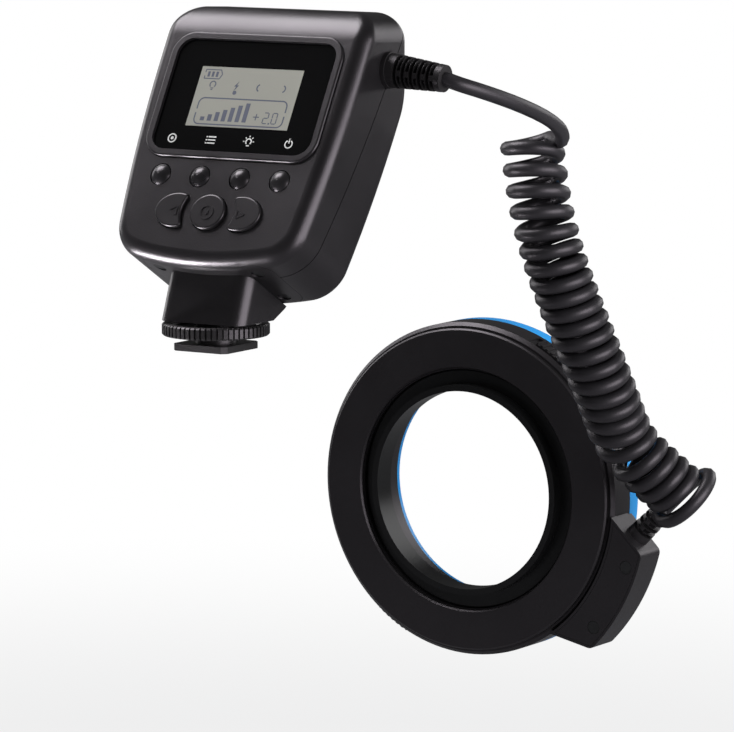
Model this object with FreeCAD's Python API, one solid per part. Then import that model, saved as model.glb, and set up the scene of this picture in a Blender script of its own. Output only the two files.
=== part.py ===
import FreeCAD, Part
import math
import os

from FreeCAD import Placement, Rotation, Vector

# A ring flash for close-up work: a controller that stands in an accessory shoe, a
# curly cord, and a ring of lamps that turns on an adapter ring with a filter thread.
# Millimetres. The origin is the centre of the shoe foot's underside, +Z is up and
# +Y is the way that the light goes.

# Shoe foot, to the standard accessory shoe
foot_width = 18.6
foot_length = 18.6
foot_thickness = 2.0
foot_corner = 1.4
boss_radius = 5.9
boss_height = 1.1
stem_radius = 4.6
stem_grip = 5.5
centre_contact_radius = 1.3
small_contact_radius = 0.6
small_contact_ring = 4.1
small_contact_angles = (210, 270, 330)
contact_reach = 0.5
contact_travel = 0.4
contact_depth = 1.9

# Lock wheel and the washer that it presses on the shoe's rails
washer_radius = 6.9
washer_bottom = 3.6
washer_thickness = 0.6
wheel_radius = 15.7
wheel_height = 3.5
wheel_teeth = 60
tooth_depth = 0.7
tooth_share = 0.62
wheel_bevel = 0.45
wheel_rim = 2.3
wheel_dish = 1.3
wheel_hub = 6.2

# Neck bracket, a wedge between the wheel and the tilted controller
neck_bottom = 8.4
neck_half_width = 14.5
neck_back = 9.7
neck_front = 14.2
neck_toe_length = 5.8
neck_toe_height = 2.7
neck_corner = 4.5
neck_top_back = 7.0
neck_top_front = 29.6
flange_half_width = 22.3
flange_near = 2.5
flange_far = 28.2
flange_corner = 5.0
flange_thickness = 1.6
flange_rise = 6.0
neck_screw_x = 17.0
neck_screw_near = 7.4
neck_screw_far = 23.4

# Controller, measured from the display's centre: x across, v up the face, w deep
tilt = 29.64
neck_meets_y = 15.33
neck_meets_z = 11.0
neck_meets_w = 30.0
neck_meets_v = -53.0
half_width = 35.5
side_bow_v = 12.0
side_bow_radius = 461.0
bottom_v = -53.2
underside_radius = 110.0
top_corner = 9.5
bottom_corner = 12.0
body_depth = 30.7
brow_start_v = 20.0
brow_radius = 16.0
brow_turn = 38.0
roof_v = 28.9
roof_slope = 0.5
back_bend_v = 14.8
back_bend_radius = 20.0
front_round = 4.5
back_round = 4.0
wall = 2.0
parting_w = 15.3
parting_slope = 0.086
parting_groove_width = 0.3
parting_groove_depth = 0.4

# Display
window_half_width = 27.5
window_half_height = 17.9
window_centre_v = 0.3
window_corner = 5.0
window_thickness = 1.4
window_sink = 0.25
window_seat = 3.0
frame_width = 2.3
frame_height = 0.8
display_half_width = 21.5
display_half_height = 12.8
display_thickness = 2.9

# Buttons
button_travel = 0.8
button_gap = 0.25
button_flange = 0.8
button_flange_thickness = 0.8
round_button_radius = 3.25
round_button_rise = 1.5
round_button_pitch = 13.75
round_button_v = -25.6
round_button_shift = -0.4
set_half_width = 5.85
set_half_height = 5.5
set_v = -36.8
set_x = -0.5
set_rise = 1.2
arrow_half_width = 7.0
arrow_half_height = 5.4
arrow_offset = 11.1
arrow_bite = 9.2
arrow_rise = 1.1
arrow_corner = 0.9
keypad_thickness = 0.6
keypad_half_width = 27.0
keypad_corner = 3.0
keypad_margin = 1.5
dome_radius = 2.2
dome_height = 0.3

# Boards and battery bay
board_front_w = 5.0
board_thickness = 1.6
board_half_width = 30.0
board_top_v = 21.5
board_bottom_v = -41.6
cell_radius = 7.25
cell_length = 50.5
cell_nub_radius = 2.75
cell_nub_length = 1.0
cell_count = 4
bay_gap = 0.35
bay_wall = 1.3
bay_bottom_v = -40.6
bay_top_v = 12.9
contact_plate = 0.4
chip_side = 12.0
chip_v = -24.0
driver_chip_side = 5.5
driver_chip_x = 15.0
driver_chip_v = -29.5
chip_height = 1.6
inductor_radius = 4.0
inductor_height = 4.5
inductor_x = -18.0
inductor_v = -28.0
capacitor_radius = 3.2
capacitor_height = 5.2
capacitor_x = 20.0
capacitor_v = -14.0
crystal_radius = 1.6
crystal_height = 3.0
crystal_x = -16.0
crystal_v = -12.0
door_thickness = 2.0
door_half_width = 30.6
door_undercut = 1.2
door_gap = 0.15
door_bottom_v = -41.6
door_top_v = 13.5
grip_ribs = 5
grip_pitch = 2.2

# Screws
screw_radius = 1.0
screw_head_radius = 2.0
screw_head_height = 1.0
screw_length = 7.5
screw_sink = 0.35
shell_screw_sink = 8.0
shell_screw_x = 25.0
shell_screw_top_v = 26.0
shell_screw_bottom_v = -44.8
boss_wall = 1.7

# Strain relief on the controller
grommet_v = 18.2
grommet_w = 15.5
grommet_length = 18.5
grommet_droop = 5.5
grommet_collar = 1.4
grommet_base_radius = 5.15
grommet_tip_radius = 4.0
grommet_neck_radius = 3.6
grommet_flange_radius = 5.0
grommet_slots = 5
slot_width = 1.3
slot_depth = 1.5

# Cord
cord_radius = 2.2
coil_radius = 7.0
last_turn_radius = 9.8
coil_pitch = 5.0
open_pitch = 5.7
open_turns = 2.5

# Ring head, its axis parallel to +Y below the shoe
ring_drop = 60.3
ring_back = 140.6
ring_width = 19.5
back_plate_margin = 1.8
back_plate_thickness = 1.6
ring_wall = 2.0
housing_front = 11.9
ring_bevel = 1.1
adapter_seat_step = 4.7
adapter_seat_depth = 6.8
adapter_gap = 0.3
light_bore_step = 1.5
inner_wall = 1.6
nose_front = 16.2
window_front = 16.2
front_window_thickness = 1.5
diffuser_front = 18.3
diffuser_wall = 1.5
diffuser_gap = 0.35
diffuser_round = 1.6

# Adapter ring, with a male filter thread on its back
adapter_thread_radius = 33.5
adapter_wall = 2.0
adapter_thread_length = 4.0
adapter_flange_back = 2.5
adapter_groove_depth = 1.1
adapter_groove_half = 1.0

# Lamps inside the ring
lamp_board_gap = 0.4
lamp_board_rim = 2.0
lamp_board_back = 6.6
lamp_board_thickness = 1.4
lamp_half_gap = 2.0
lamps_per_half = 24
lamp_size = 3.4
lamp_height = 1.2
reflector_thickness = 0.8

# Release latches on the rim, and the junction box
latch_angle = 57.0
latch_travel = 1.5
latch_half_angle = 6.5
latch_back = 3.8
latch_thickness = 1.2
latch_arm_gap = 0.6
latch_arm_width = 2.2
latch_cap_front = 9.2
latch_cap_proud = 0.7
latch_ribs = 6
tongue_half_angle = 4.0
tongue_shift = 13.0
box_angle = -29.5
box_reach = 12.4
box_foot_reach = 1.0
box_half_angle_inner = 23.9
box_half_angle_outer = 15.9
box_back = 0.4
box_front = 13.9
box_wall = 1.8
box_round = 1.6
box_corner = 2.5
box_cover_thickness = 1.6
box_screw_inset = 4.2
box_screw_spread = 10.8
wire_way_half_angle = 4.0
wire_way_inset = 3.0
relief_length = 12.0
relief_base_radius = 3.8
relief_tip_radius = 3.3
relief_tenon = 1.2
relief_flange_thickness = 1.2
relief_slots = 3

# Driver board in the junction box
driver_half_angle = 9.0
driver_lift = 3.4
driver_thickness = 1.2
driver_choke_radius = 1.7
driver_choke_height = 3.0
driver_store_radius = 1.5
driver_store_height = 4.0
driver_part_angle = 5.0

# Clearances, and how far a cutting form runs past what it trims
running_gap = 0.1
loose_gap = 0.3
seam = 0.1
cut_past = 5.0
far_past = 100.0

up = Vector(0, math.sin(math.radians(tilt)), math.cos(math.radians(tilt)))
deep = Vector(0, math.cos(math.radians(tilt)), -math.sin(math.radians(tilt)))
face_centre = Vector(0, neck_meets_y, neck_meets_z) - up * neck_meets_v - deep * neck_meets_w
panel_place = Placement(face_centre, Rotation(Vector(1, 0, 0), 90 - tilt))
ring_centre = Vector(0, ring_back, -ring_drop)
ring_radius = adapter_thread_radius + ring_width
light_bore_radius = adapter_thread_radius + light_bore_step
adapter_bore_radius = adapter_thread_radius - adapter_wall
adapter_seat_radius = adapter_thread_radius + adapter_seat_step
back_plate_bore = adapter_seat_radius + loose_gap
back_plate_radius = ring_radius - back_plate_margin
lamp_board_inner = adapter_seat_radius + inner_wall + lamp_board_gap
lamp_board_outer = ring_radius - ring_wall - lamp_board_rim
lamp_ring_radius = (lamp_board_inner + lamp_board_outer) / 2
latch_arm_radius = adapter_seat_radius + inner_wall + latch_travel + latch_arm_gap
box_radius = ring_radius + box_reach
box_foot_radius = ring_radius + box_foot_reach
box_screw_radius = box_radius - box_screw_inset


# Helpers for the tilted controller, where depth w runs into the body
def on_panel(shape):
    placed = shape.copy()
    placed.Placement = panel_place
    return placed


def slab(wire, near, far):
    face = Part.Face(wire)
    face.translate(Vector(0, 0, -near))
    return face.extrude(Vector(0, 0, near - far))


def rounded_outline(centre_x, centre_v, half_x, half_v, corner):
    box = Part.makeBox(2 * half_x, 2 * half_v, 1, Vector(centre_x - half_x, centre_v - half_v, 0))
    uprights = [edge for edge in box.Edges if abs(edge.tangentAt(edge.FirstParameter).z) > 0.9]
    rounded = box.makeFillet(corner, uprights)
    lowest = min(rounded.Faces, key=lambda face: face.CenterOfMass.z)
    return lowest.OuterWire


def oval_face(centre_x, centre_v, half_x, half_v):
    if half_x > half_v:
        curve = Part.Ellipse(Vector(centre_x, centre_v, 0), half_x, half_v)
    else:
        curve = Part.Circle(Vector(centre_x, centre_v, 0), Vector(0, 0, 1), half_v)
    return Part.Face(Part.Wire(curve.toShape()))


def face_slab(face, near, far):
    moved = face.copy()
    moved.translate(Vector(0, 0, -near))
    return moved.extrude(Vector(0, 0, near - far))


def post(x, v, radius, near, far):
    return Part.makeCylinder(radius, far - near, Vector(x, v, -far))


def side_profile(points):
    corners = [Vector(0, v, -w) for w, v in points]
    wire = Part.makePolygon(corners + corners[:1])
    face = Part.Face(wire)
    reach = half_width + 10
    face.translate(Vector(-reach, 0, 0))
    return face.extrude(Vector(2 * reach, 0, 0))


def sharp_edges(shape, wanted):
    found = []
    for edge in shape.Edges:
        middle = edge.valueAt((edge.FirstParameter + edge.LastParameter) / 2)
        if not wanted(middle):
            continue
        sides = [face for face in shape.Faces if any(edge.isSame(other) for other in face.Edges)]
        normals = [face.normalAt(*face.Surface.parameter(middle)) for face in sides]
        if len(normals) == 2 and normals[0].getAngle(normals[1]) > 0.5:
            found.append(edge)
    return found


# The controller's outer form, or the same form drawn in by an inset. Its sides are
# straight at the top and bow in below, its roof climbs towards the back, and the
# top of its back stands upright when the foot is level.
def front_outline(inset):
    wide = half_width - inset
    low = bottom_v + inset
    arc_radius = underside_radius - inset
    bow_radius = side_bow_radius - inset
    arc_centre_v = bottom_v + underside_radius
    bow_centre_x = half_width - side_bow_radius
    apart = math.hypot(bow_centre_x, arc_centre_v - side_bow_v)
    along = (bow_radius ** 2 - arc_radius ** 2 + apart ** 2) / (2 * apart)
    across = math.sqrt(bow_radius ** 2 - along ** 2)
    step = Vector(-bow_centre_x, arc_centre_v - side_bow_v, 0) / apart
    corner = Vector(bow_centre_x, side_bow_v, 0) + step * along + Vector(step.y, -step.x, 0) * across
    half_drop = math.asin((side_bow_v - corner.y) / bow_radius) / 2
    bow_x = bow_centre_x + bow_radius * math.cos(half_drop)
    bow_v = side_bow_v - bow_radius * math.sin(half_drop)
    high = far_past
    return corner, Part.Wire([
        Part.makeLine(Vector(-wide, high, 0), Vector(wide, high, 0)),
        Part.makeLine(Vector(wide, high, 0), Vector(wide, side_bow_v, 0)),
        Part.Arc(Vector(wide, side_bow_v, 0), Vector(bow_x, bow_v, 0), corner).toShape(),
        Part.Arc(corner, Vector(0, low, 0), Vector(-corner.x, corner.y, 0)).toShape(),
        Part.Arc(Vector(-corner.x, corner.y, 0), Vector(-bow_x, bow_v, 0),
                 Vector(-wide, side_bow_v, 0)).toShape(),
        Part.makeLine(Vector(-wide, side_bow_v, 0), Vector(-wide, high, 0)),
    ])


def roofed_block(inset):
    wide = half_width - inset
    rise = math.hypot(1, roof_slope)
    top = roof_v - inset * rise
    block = Part.makeBox(2 * wide, top + far_past, 1, Vector(-wide, -far_past, 0))
    corners = [edge for edge in block.Edges if abs(edge.tangentAt(edge.FirstParameter).z) > 0.9
               and edge.CenterOfMass.y > 0]
    outline = min(block.makeFillet(top_corner - inset, corners).Faces, key=lambda face: face.CenterOfMass.z)
    outline = Part.Face(outline.OuterWire)
    outline.translate(Vector(0, -cut_past * roof_slope, cut_past))
    run = body_depth + 2 * cut_past
    return outline.extrude(Vector(0, run * roof_slope, -run))


def body_form(inset):
    corner, outline = front_outline(inset)
    prism = slab(outline, -cut_past, body_depth + cut_past)
    low_edges = [edge for edge in prism.Edges if abs(edge.tangentAt(edge.FirstParameter).z) > 0.9
                 and abs(edge.CenterOfMass.y - corner.y) < 0.01]
    prism = prism.makeFillet(bottom_corner - inset, low_edges)
    block = roofed_block(inset)
    reach = 2 * half_width
    split = Part.makeBox(2 * reach, far_past, far_past, Vector(-reach, side_bow_v, -body_depth - cut_past))
    prism = prism.cut(split).fuse(block.common(split)).removeSplitter()

    turn = math.radians(brow_turn)
    brow = brow_radius - inset
    start = Vector(0, brow_start_v, -inset)
    half = Vector(0, brow_start_v + brow * math.sin(turn / 2), -inset - brow * (1 - math.cos(turn / 2)))
    end = Vector(0, brow_start_v + brow * math.sin(turn), -inset - brow * (1 - math.cos(turn)))
    beyond = end + Vector(0, math.cos(turn), -math.sin(turn)) * brow_radius
    back = body_depth - inset
    lean = math.radians(tilt)
    bend = (back_bend_radius - inset) * math.tan(lean / 2)
    bend_v = back_bend_v - inset * math.tan(lean / 2)
    bend_low = Vector(0, bend_v - bend, -back)
    bend_high = Vector(0, bend_v + bend * math.cos(lean), -back + bend * math.sin(lean))
    bend_middle = Vector(0, bend_low.y + (back_bend_radius - inset) * math.sin(lean / 2),
                         -back + (back_bend_radius - inset) * (1 - math.cos(lean / 2)))
    rise = beyond.y + body_depth * roof_slope - bend_high.y
    back_top = bend_high + Vector(0, rise, rise * math.tan(lean))
    low_v = bottom_v - cut_past
    profile = Part.Wire([
        Part.makeLine(Vector(0, low_v, -inset), start),
        Part.Arc(start, half, end).toShape(),
        Part.makeLine(end, beyond),
        Part.makeLine(beyond, back_top),
        Part.makeLine(back_top, bend_high),
        Part.Arc(bend_high, bend_middle, bend_low).toShape(),
        Part.makeLine(bend_low, Vector(0, low_v, -back)),
        Part.makeLine(Vector(0, low_v, -back), Vector(0, low_v, -inset)),
    ])
    side = Part.Face(profile)
    side.translate(Vector(-reach, 0, 0))
    return prism.common(side.extrude(Vector(2 * reach, 0, 0))).removeSplitter()


def outer_form():
    form = body_form(0)
    form = form.makeFillet(front_round, sharp_edges(form, lambda point: point.z > -body_depth / 3))
    return form.makeFillet(back_round, sharp_edges(form, lambda point: True))


def parting(front):
    high = roof_v + roof_slope * body_depth + cut_past
    low = bottom_v - cut_past
    at_high = parting_w + parting_slope * high
    at_low = parting_w + parting_slope * low
    if front:
        return side_profile([(-cut_past, low), (-cut_past, high), (at_high, high), (at_low, low)])
    back = body_depth + cut_past
    return side_profile([(back, low), (back, high), (at_high, high), (at_low, low)])


def parting_groove():
    half = parting_groove_width / 2
    high = roof_v + roof_slope * body_depth + cut_past
    low = bottom_v - cut_past
    at_high = parting_w + parting_slope * high
    at_low = parting_w + parting_slope * low
    band = side_profile([(at_low - half, low), (at_high - half, high), (at_high + half, high),
                         (at_low + half, low)])
    return band.cut(body_form(parting_groove_depth))


def gland_hole():
    hole = Part.makeCylinder(grommet_neck_radius + seam, 12, Vector(half_width - 8, 0, 0), Vector(1, 0, 0))
    hole.translate(Vector(0, grommet_v, -grommet_w))
    return hole


# Buttons: each is a cap, a stem through the face and a flange behind it
round_button_x = [round_button_shift + round_button_pitch * (index - 1.5) for index in range(4)]


def arrow_face(side, grow):
    middle_x = set_x + side * arrow_offset
    body = oval_face(middle_x, set_v, arrow_half_width + grow, arrow_half_height + grow)
    bite = oval_face(set_x, set_v, arrow_bite - grow, arrow_bite - grow)
    block = body.cut(bite).Faces[0].extrude(Vector(0, 0, 1))
    tips = [edge for edge in sharp_edges(block, lambda point: True)
            if abs(edge.tangentAt(edge.FirstParameter).z) > 0.9]
    rounded = block.makeFillet(arrow_corner + grow, tips)
    return Part.Face(min(rounded.Faces, key=lambda face: face.CenterOfMass.z).OuterWire)


def set_face(grow):
    return oval_face(set_x, set_v, set_half_width + grow, set_half_height + grow)


def pressed_button(shape_of, rise, softness):
    cap = face_slab(shape_of(0), -rise, wall + loose_gap)
    rim = sharp_edges(cap, lambda point: point.z > rise - 0.01)
    cap = cap.makeFillet(softness, rim)
    flange = face_slab(shape_of(button_flange), wall + loose_gap, wall + loose_gap + button_flange_thickness)
    return on_panel(cap.fuse(flange).removeSplitter())


def round_button(x):
    base = wall + loose_gap
    sag = round_button_rise
    ball = (round_button_radius ** 2 + sag ** 2) / (2 * sag)
    dome = Part.makeSphere(ball, Vector(x, round_button_v, sag - ball))
    stem = post(x, round_button_v, round_button_radius, -sag, base)
    cap = stem.common(dome.fuse(post(x, round_button_v, round_button_radius, 0, base)))
    flange = post(x, round_button_v, round_button_radius + button_flange, base,
                  base + button_flange_thickness)
    return on_panel(cap.fuse(flange).removeSplitter())


def button_faces(grow):
    faces = [oval_face(x, round_button_v, round_button_radius + grow, round_button_radius + grow)
             for x in round_button_x]
    return faces + [set_face(grow), arrow_face(-1, grow), arrow_face(1, grow)]


# Screw bosses that join the two shells
def boss_places():
    return [(side * shell_screw_x, v) for side in (-1, 1) for v in (shell_screw_top_v, shell_screw_bottom_v)]


def neck_screw_places():
    return [(side * neck_screw_x, w) for side in (-1, 1) for w in (neck_screw_near, neck_screw_far)]


def underside_height(x):
    return bottom_v + underside_radius - math.sqrt(underside_radius ** 2 - x ** 2)


def rod_up(x, w, radius, low, high):
    return Part.makeCylinder(radius, high - low, Vector(x, low, -w), Vector(0, 1, 0))


def flange_outline(grow):
    middle = (flange_near + flange_far) / 2
    half = (flange_far - flange_near) / 2 + grow
    wide = flange_half_width + grow
    block = Part.makeBox(2 * wide, 2 * far_past, 2 * half,
                         Vector(-wide, bottom_v - far_past, -middle - half))
    uprights = [edge for edge in block.Edges if abs(edge.tangentAt(edge.FirstParameter).y) > 0.9]
    return block.makeFillet(flange_corner, uprights)


def under_block(half_x):
    return Part.makeBox(2 * half_x, flange_rise + far_past, body_depth, Vector(-half_x, bottom_v - far_past,
                                                                              -body_depth))


def flange_form(grow):
    shell = outer_form().cut(body_form(flange_thickness))
    return shell.common(flange_outline(grow)).common(under_block(flange_half_width + 1))


def shell_blank(front):
    shell = outer_form().cut(body_form(wall))
    pad = body_form(wall).cut(body_form(wall + flange_thickness))
    shell = shell.fuse(pad.common(under_block(flange_half_width + 2)))
    inside = outer_form()
    for x, v in boss_places():
        shell = shell.fuse(post(x, v, screw_radius + boss_wall, 0, body_depth).common(inside))
    for x, w in neck_screw_places():
        low = underside_height(x) + flange_thickness
        shell = shell.fuse(rod_up(x, w, screw_radius + boss_wall, low, low + screw_length + 1.0))
    shell = shell.common(parting(front))
    for x, v in boss_places():
        shell = shell.cut(post(x, v, screw_radius + seam, wall + 1.0, body_depth + 1))
    for x, w in neck_screw_places():
        low = underside_height(x)
        shell = shell.cut(rod_up(x, w, screw_radius + seam, low - 2,
                                 low + screw_sink + screw_length + loose_gap))
    shell = shell.cut(flange_form(seam))
    return shell.cut(parting_groove()).cut(gland_hole())


def front_shell():
    shell = shell_blank(True)
    seat = rounded_outline(0, window_centre_v, window_half_width + frame_width,
                           window_half_height + frame_width,
                           window_corner + frame_width)
    frame = slab(seat, -frame_height, wall + window_seat - 1.6)
    rim = sharp_edges(frame, lambda point: point.z > frame_height - 0.01)
    frame = frame.makeFillet(frame_height * 0.8, rim)
    shell = shell.fuse(frame)
    pocket = rounded_outline(0, window_centre_v, window_half_width + seam, window_half_height + seam,
                             window_corner)
    shell = shell.cut(slab(pocket, -5, window_sink + window_thickness))
    opening = rounded_outline(0, 0, display_half_width + seam, display_half_height + seam, 1.0)
    shell = shell.cut(slab(opening, -5, wall + 5))
    for face in button_faces(button_gap):
        shell = shell.cut(face_slab(face, -3, wall + 1.5))
    return on_panel(shell.removeSplitter())


def bay_half_width():
    return cell_count * cell_radius + bay_gap


def bay_floor():
    return body_depth - door_thickness - loose_gap - 2 * cell_radius - bay_gap


def door_groove(grow):
    top = door_half_width - door_undercut
    floor_w = body_depth - door_thickness - grow
    above_w = body_depth + 3
    slope = door_undercut / door_thickness
    corners = [(-door_half_width - grow, floor_w), (door_half_width + grow, floor_w),
               (top + grow - 3 * slope, above_w), (-top - grow + 3 * slope, above_w)]
    points = [Vector(x, door_bottom_v - grow, -w) for x, w in corners]
    face = Part.Face(Part.makePolygon(points + points[:1]))
    return face.extrude(Vector(0, roof_v - door_bottom_v, 0))


def back_shell():
    shell = shell_blank(False)
    wide = bay_half_width()
    floor = bay_floor()
    block = Part.makeBox(2 * (wide + bay_wall), bay_top_v - bay_bottom_v + 2 * bay_wall,
                         body_depth - floor + bay_wall,
                         Vector(-wide - bay_wall, bay_bottom_v - bay_wall, -body_depth))
    shell = shell.fuse(block.common(outer_form()))
    shell = shell.common(parting(False))
    cavity = Part.makeBox(2 * wide, bay_top_v - bay_bottom_v, body_depth - floor + 1,
                          Vector(-wide, bay_bottom_v, -body_depth - 1))
    shell = shell.cut(cavity)
    shell = shell.cut(door_groove(0))
    for x, v in boss_places():
        shell = shell.cut(post(x, v, screw_head_radius + seam, body_depth - shell_screw_sink,
                               body_depth + 1))
    return on_panel(shell.removeSplitter())


def battery_door():
    door = door_groove(-door_gap).common(outer_form())
    door = door.common(Part.makeBox(2 * far_past, far_past, far_past,
                                    Vector(-far_past, door_top_v - far_past,
                                                                            -far_past)))
    for index in range(grip_ribs):
        v = door_bottom_v + 8 + index * grip_pitch
        notch = Part.makeBox(16, 0.9, 0.7, Vector(-8, v, -body_depth - 0.1))
        door = door.cut(notch)
    return on_panel(door.removeSplitter())


def display_window():
    outline = rounded_outline(0, window_centre_v, window_half_width, window_half_height,
                              window_corner - seam)
    return on_panel(slab(outline, window_sink, window_sink + window_thickness))


def display_module():
    near = window_sink + window_thickness + running_gap
    outline = rounded_outline(0, 0, display_half_width, display_half_height, 0.8)
    return on_panel(slab(outline, near, near + display_thickness))


def main_board():
    middle = (board_top_v + board_bottom_v) / 2
    half = (board_top_v - board_bottom_v) / 2
    outline = rounded_outline(0, middle, board_half_width, half, 4.0)
    board = slab(outline, board_front_w, board_front_w + board_thickness)
    for x, v in boss_places():
        board = board.cut(post(x, v, screw_radius + boss_wall + loose_gap, 0, body_depth))
    return on_panel(board)


def board_parts():
    back = board_front_w + board_thickness
    chip = slab(rounded_outline(0, chip_v, chip_side / 2, chip_side / 2, seam), back, back + chip_height)
    driver = slab(rounded_outline(driver_chip_x, driver_chip_v, driver_chip_side / 2, driver_chip_side / 2,
                                  seam),
                  back, back + chip_height)
    inductor = post(inductor_x, inductor_v, inductor_radius, back, back + inductor_height)
    capacitor = post(capacitor_x, capacitor_v, capacitor_radius, back, back + capacitor_height)
    crystal = post(crystal_x, crystal_v, crystal_radius, back, back + crystal_height)
    return on_panel(Part.makeCompound([chip, driver, inductor, capacitor, crystal]))


def keypad():
    near = board_front_w - keypad_thickness
    top = round_button_v + round_button_radius + keypad_margin
    low = set_v - set_half_height + keypad_margin
    sheet = rounded_outline(0, (top + low) / 2, keypad_half_width, (top - low) / 2, keypad_corner)
    pad = slab(sheet, near, board_front_w - 0.02)
    spots = [(x, round_button_v) for x in round_button_x]
    spots += [(set_x, set_v), (set_x - arrow_offset - 1.5, set_v), (set_x + arrow_offset + 1.5, set_v)]
    for x, v in spots:
        pad = pad.fuse(post(x, v, dome_radius, near - dome_height, near + 0.1))
    return on_panel(pad.removeSplitter())


def cell_x(index):
    return (index - (cell_count - 1) / 2) * 2 * cell_radius


def battery(index):
    up_side = index % 2 == 0
    low = bay_bottom_v + contact_plate + running_gap
    high = bay_top_v - contact_plate - running_gap
    w = bay_floor() + bay_gap + cell_radius - 0.1
    x = cell_x(index)
    start = high - cell_length if up_side else low
    body_start = start if up_side else start + cell_nub_length
    body_length = cell_length - cell_nub_length
    radius = cell_radius - 0.05
    cell = rod_up(x, w, radius, body_start, body_start + body_length)
    cell = cell.makeFillet(0.6, [edge for edge in cell.Edges if edge.Curve.TypeId == "Part::GeomCircle"])
    nub_start = body_start + body_length if up_side else start
    cell = cell.fuse(rod_up(x, w, cell_nub_radius, nub_start, nub_start + cell_nub_length))
    return on_panel(cell.removeSplitter())


def battery_contacts():
    w = bay_floor() + bay_gap + cell_radius - 0.1
    solids = []
    for index in range(cell_count):
        up_side = index % 2 == 0
        x = cell_x(index)
        spare = bay_top_v - bay_bottom_v - 2 * contact_plate - 2 * running_gap - cell_length
        coil_length = spare + running_gap
        for low in (bay_bottom_v, bay_top_v - contact_plate):
            plate = Part.makeBox(11, contact_plate, 9, Vector(x - 5.5, low, -w - 4.5))
            at_bottom = low == bay_bottom_v
            if at_bottom == up_side:
                if at_bottom:
                    start = Vector(x, low + contact_plate, -w)
                    spring = Part.makeCone(3.6, 2.2, coil_length, start, Vector(0, 1, 0))
                else:
                    start = Vector(x, low, -w)
                    spring = Part.makeCone(3.6, 2.2, coil_length, start, Vector(0, -1, 0))
                plate = plate.fuse(spring)
            solids.append(plate)
    return on_panel(Part.makeCompound(solids))


def shell_screws():
    solids = []
    for x, v in boss_places():
        seat_w = body_depth - shell_screw_sink
        head = post(x, v, screw_head_radius, seat_w, seat_w + screw_head_height)
        shaft = post(x, v, screw_radius, wall + 4.0, seat_w)
        solids.append(head.fuse(shaft).removeSplitter())
    return on_panel(Part.makeCompound(solids))


def neck_screws():
    solids = []
    for x, w in neck_screw_places():
        low = underside_height(x) + screw_sink
        head = rod_up(x, w, screw_head_radius, low, low + screw_head_height)
        shaft = rod_up(x, w, screw_radius, low, low + screw_length)
        solids.append(head.fuse(shaft).removeSplitter())
    return on_panel(Part.makeCompound(solids))


def neck():
    top_back = face_centre + up * (neck_meets_v + 0.7) + deep * neck_top_back
    top_front = face_centre + up * (neck_meets_v + 0.7) + deep * neck_top_front
    points = [Vector(-neck_half_width, -neck_back, neck_bottom),
              Vector(-neck_half_width, neck_front - neck_toe_length, neck_bottom),
              Vector(-neck_half_width, neck_front, neck_bottom + neck_toe_height),
              Vector(-neck_half_width, top_front.y, top_front.z),
              Vector(-neck_half_width, top_back.y, top_back.z)]
    wedge = Part.Face(Part.makePolygon(points + points[:1])).extrude(Vector(2 * neck_half_width, 0, 0))
    upright = sharp_edges(wedge, lambda point: abs(point.x) > neck_half_width - 0.01
                          and point.y < top_back.y - 0.2)
    upright = [edge for edge in upright if abs(edge.tangentAt(edge.FirstParameter).z) > 0.5
               and edge.Length > 12]
    wedge = wedge.makeFillet(neck_corner, upright).cut(on_panel(outer_form()))
    flange = on_panel(flange_form(0))
    bracket = wedge.fuse(flange)
    hole = Part.makeCylinder(stem_radius + 0.02, stem_grip + 1, Vector(0, 0, neck_bottom - 1))
    bracket = bracket.cut(hole)
    for x, w in neck_screw_places():
        low = underside_height(x)
        head = rod_up(x, w, screw_head_radius + seam, low - 3, low + screw_sink + screw_head_height)
        shaft = rod_up(x, w, screw_radius + seam, low - 3, low + 6)
        bracket = bracket.cut(on_panel(head)).cut(on_panel(shaft))
    return bracket.removeSplitter()


# Shoe foot, contacts, washer and lock wheel
def contact_places():
    places = [(0.0, 0.0, centre_contact_radius)]
    for angle in small_contact_angles:
        turned = math.radians(angle)
        places.append((small_contact_ring * math.cos(turned), small_contact_ring * math.sin(turned),
                       small_contact_radius))
    return places


def shoe_foot():
    plate = Part.makeBox(foot_width, foot_length, foot_thickness,
                         Vector(-foot_width / 2, -foot_length / 2, 0))
    uprights = [edge for edge in plate.Edges if abs(edge.tangentAt(edge.FirstParameter).z) > 0.9]
    plate = plate.makeChamfer(foot_corner, uprights)
    boss = Part.makeCylinder(boss_radius, boss_height, Vector(0, 0, foot_thickness))
    stem_top = neck_bottom + stem_grip
    stem = Part.makeCylinder(stem_radius, stem_top - foot_thickness, Vector(0, 0, foot_thickness))
    foot = plate.fuse(boss).fuse(stem).removeSplitter()
    for x, y, radius in contact_places():
        hole_depth = contact_depth + contact_travel + 0.2
        foot = foot.cut(Part.makeCylinder(radius + running_gap, hole_depth + 1, Vector(x, y, -1)))
    return foot


def contacts():
    pins = []
    for x, y, radius in contact_places():
        pin = Part.makeCylinder(radius, contact_depth + contact_reach, Vector(x, y, -contact_reach))
        tip = [edge for edge in pin.Edges if edge.BoundBox.ZMax < -contact_reach + 0.01]
        pins.append(pin.makeChamfer(0.2, tip))
    return Part.makeCompound(pins)


def clamp_washer():
    ring = Part.makeCylinder(washer_radius, washer_thickness, Vector(0, 0, washer_bottom))
    return ring.cut(Part.makeCylinder(stem_radius + running_gap, 5, Vector(0, 0, washer_bottom - 1)))


wheel_bottom = washer_bottom + washer_thickness + running_gap


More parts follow.
